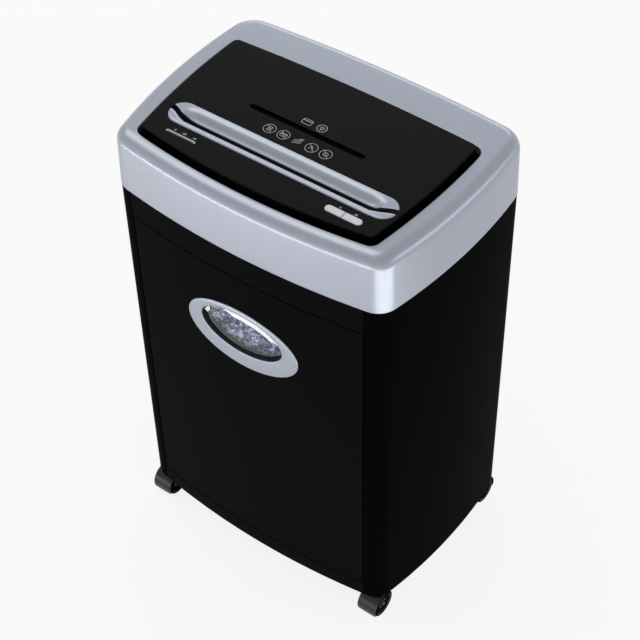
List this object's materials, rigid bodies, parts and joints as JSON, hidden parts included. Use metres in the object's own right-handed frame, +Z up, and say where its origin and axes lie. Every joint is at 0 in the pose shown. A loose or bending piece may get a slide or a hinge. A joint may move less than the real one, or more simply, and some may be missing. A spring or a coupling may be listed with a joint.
{
  "type": "paper shredder",
  "caption": "Upright deskside paper shredder on swivel casters, with a paper throat, a disc slot, push buttons and a pull-out bin with an oval window.",
  "frame": {"origin": "on the floor, under the middle of the housing", "axes": "+Z up; +X to the right of someone facing the bin; the bin pulls out towards -Y"},
  "size_m": [0.3348, 0.2403, 0.5312],
  "materials": {
    "silver_plastic": "satin silver moulding",
    "black_plastic": "fine satin black",
    "cabinet_plastic": "fine-grained satin black",
    "caster_plastic": "satin dark grey moulding",
    "tread_rubber": "matt tread",
    "plain_steel": "plain zinc-plated steel",
    "cutter_steel": "ground and oiled",
    "bush_bronze": "sintered bronze",
    "gear_plastic": "natural nylon",
    "board_green": "lacquered board",
    "indicator_white": "milky light guide",
    "clear_window": "clear, polished",
    "shredded_paper": "crumpled strips"
  },
  "bodies": {
    "cabinet": {"head_bezel": "silver_plastic", "top_panel": "black_plastic", "front_throat_guide": "silver_plastic", "rear_throat_guide": "silver_plastic", "front_paper_chute": "plain_steel", "rear_paper_chute": "plain_steel", "disc_chute": "black_plastic", "indicator_lens": "indicator_white", "control_board": "board_green", "head_base": "black_plastic", "cord_gland": "black_plastic", "left_side_plate": "plain_steel", "right_side_plate": "plain_steel", "spacer_rods": "plain_steel", "shaft_bushes": "bush_bronze", "front_stripper": "plain_steel", "rear_stripper": "plain_steel", "gear_pin": "plain_steel", "gearbox_plate": "plain_steel", "motor_can": "plain_steel", "cabinet_shell": "cabinet_plastic", "front_fascia": "cabinet_plastic", "cabinet_base": "cabinet_plastic", "bin_guides": "black_plastic"},
    "rear_cutting_shaft": {"rear_cutter": "cutter_steel", "rear_sync_gear": "gear_plastic", "drive_gear": "gear_plastic"},
    "front_cutting_shaft": {"front_cutter": "cutter_steel", "front_sync_gear": "gear_plastic"},
    "disc_cutting_shaft": {"disc_cutter": "cutter_steel", "disc_sync_gear": "gear_plastic"},
    "reduction_gear": {"compound_gear": "gear_plastic"},
    "motor_rotor": {"motor_shaft": "plain_steel", "motor_fan": "black_plastic"},
    "waste_bin": {"bin_tub": "black_plastic", "bin_front": "cabinet_plastic", "window_bezel": "silver_plastic", "window_lens": "clear_window", "paper_shreds": "shredded_paper"},
    "reverse_button": {"reverse_button": "silver_plastic"},
    "power_button": {"power_button": "silver_plastic"},
    "caster_swivel_front_left": {"caster_hood_front_left": "caster_plastic"},
    "caster_wheels_front_left": {"caster_axle_front_left": "plain_steel", "caster_wheels_front_left": "tread_rubber"},
    "caster_swivel_front_right": {"caster_hood_front_right": "caster_plastic"},
    "caster_wheels_front_right": {"caster_axle_front_right": "plain_steel", "caster_wheels_front_right": "tread_rubber"},
    "caster_swivel_back_left": {"caster_hood_back_left": "caster_plastic"},
    "caster_wheels_back_left": {"caster_axle_back_left": "plain_steel", "caster_wheels_back_left": "tread_rubber"},
    "caster_swivel_back_right": {"caster_hood_back_right": "caster_plastic"},
    "caster_wheels_back_right": {"caster_axle_back_right": "plain_steel", "caster_wheels_back_right": "tread_rubber"}
  },
  "joints": [
    {"name": "rear_cutter_spin", "type": "hinge", "parent": "cabinet", "child": "rear_cutting_shaft", "pos_m": [0, -0.0436, 0.466], "axis": [1, 0, 0], "continuous": true},
    {"name": "front_cutter_spin", "type": "hinge", "parent": "cabinet", "child": "front_cutting_shaft", "pos_m": [0, -0.0736, 0.466], "axis": [1, 0, 0], "continuous": true},
    {"name": "disc_cutter_spin", "type": "hinge", "parent": "cabinet", "child": "disc_cutting_shaft", "pos_m": [0, -0.0136, 0.466], "axis": [1, 0, 0], "continuous": true},
    {"name": "reduction_gear_spin", "type": "hinge", "parent": "cabinet", "child": "reduction_gear", "pos_m": [0, -0.00224, 0.47329], "axis": [1, 0, 0], "continuous": true},
    {"name": "motor_spin", "type": "hinge", "parent": "cabinet", "child": "motor_rotor", "pos_m": [0, 0.03376, 0.47329], "axis": [1, 0, 0], "continuous": true},
    {"name": "bin_slide", "type": "slide", "parent": "cabinet", "child": "waste_bin", "axis": [0, -1, 0], "range_m": [0, 0.2]},
    {"name": "reverse_button_press", "type": "slide", "parent": "cabinet", "child": "reverse_button", "axis": [0, 0, -1], "range_m": [0, 0.0015], "stiffness_N_per_m": 300},
    {"name": "power_button_press", "type": "slide", "parent": "cabinet", "child": "power_button", "axis": [0, 0, -1], "range_m": [0, 0.0015], "stiffness_N_per_m": 300},
    {"name": "caster_swivel_front_left", "type": "hinge", "parent": "cabinet", "child": "caster_swivel_front_left", "pos_m": [-0.14, -0.086, 0.04], "axis": [0, 0, 1], "continuous": true},
    {"name": "caster_roll_front_left", "type": "hinge", "parent": "caster_swivel_front_left", "child": "caster_wheels_front_left", "pos_m": [-0.14, -0.096, 0.0155], "axis": [1, 0, 0], "continuous": true},
    {"name": "caster_swivel_front_right", "type": "hinge", "parent": "cabinet", "child": "caster_swivel_front_right", "pos_m": [0.14, -0.086, 0.04], "axis": [0, 0, 1], "continuous": true},
    {"name": "caster_roll_front_right", "type": "hinge", "parent": "caster_swivel_front_right", "child": "caster_wheels_front_right", "pos_m": [0.14, -0.096, 0.0155], "axis": [1, 0, 0], "continuous": true},
    {"name": "caster_swivel_back_left", "type": "hinge", "parent": "cabinet", "child": "caster_swivel_back_left", "pos_m": [-0.146, 0.0835, 0.04], "axis": [0, 0, 1], "continuous": true},
    {"name": "caster_roll_back_left", "type": "hinge", "parent": "caster_swivel_back_left", "child": "caster_wheels_back_left", "pos_m": [-0.146, 0.0935, 0.0155], "axis": [1, 0, 0], "continuous": true},
    {"name": "caster_swivel_back_right", "type": "hinge", "parent": "cabinet", "child": "caster_swivel_back_right", "pos_m": [0.146, 0.0835, 0.04], "axis": [0, 0, 1], "continuous": true},
    {"name": "caster_roll_back_right", "type": "hinge", "parent": "caster_swivel_back_right", "child": "caster_wheels_back_right", "pos_m": [0.146, 0.0935, 0.0155], "axis": [1, 0, 0], "continuous": true}
  ],
  "couplings": [
    {"joint": "motor_spin", "follows": "reduction_gear_spin", "ratio": -3},
    {"joint": "rear_cutter_spin", "follows": "reduction_gear_spin", "ratio": -0.27273},
    {"joint": "front_cutter_spin", "follows": "reduction_gear_spin", "ratio": 0.27273},
    {"joint": "disc_cutter_spin", "follows": "reduction_gear_spin", "ratio": 0.27273}
  ]
}
